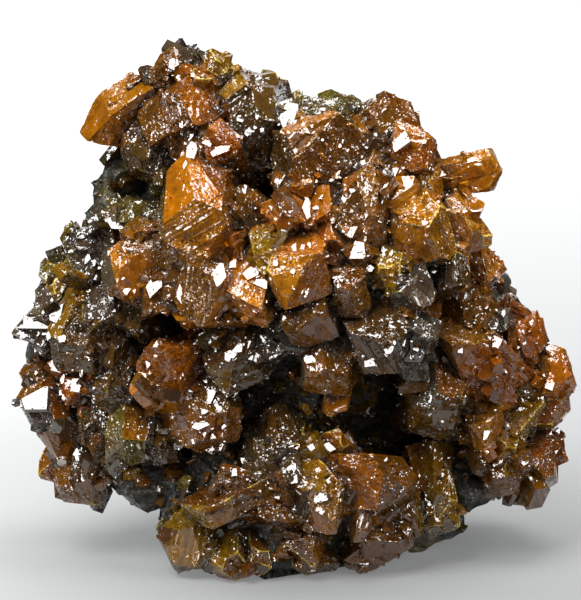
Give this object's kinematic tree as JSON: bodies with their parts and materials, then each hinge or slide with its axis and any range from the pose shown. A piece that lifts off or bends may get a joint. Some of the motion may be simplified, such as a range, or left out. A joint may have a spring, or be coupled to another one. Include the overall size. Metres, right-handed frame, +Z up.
{
  "type": "orpiment specimen",
  "caption": "Loose mineral hand specimen: amber and brown orpiment crystals grown together in clusters on a lump of dark host rock with a flat cut base.",
  "frame": {"origin": "on the flat base, under the middle of the specimen", "axes": "+X to the specimen's right as displayed, +Y to its back, +Z up out of the base"},
  "size_m": [0.0813, 0.0482, 0.0741],
  "materials": {
    "dark_rock": "rough broken rock with a dull metallic sheen",
    "amber_wedge": "resinous amber crystal",
    "upper_left_crystals": "dark brown resinous crystals",
    "upper_right_crystals": "orange-brown resinous crystals",
    "middle_crystals": "orange-brown resinous crystals",
    "left_crystals": "brown sparkling crystals",
    "left_edge_crystals": "olive and grey crystals",
    "lower_crystals": "brown crystals with yellow rims",
    "golden_shards": "bright golden crystals",
    "right_crystals": "orange-brown resinous crystals"
  },
  "bodies": {
    "root": {"matrix": "dark_rock", "amber_wedge": "amber_wedge", "upper_left_crystals": "upper_left_crystals", "upper_right_crystals": "upper_right_crystals", "middle_crystals": "middle_crystals", "left_crystals": "left_crystals", "left_edge_crystals": "left_edge_crystals", "lower_crystals": "lower_crystals", "golden_shards": "golden_shards", "right_crystals": "right_crystals"}
  },
  "joints": []
}
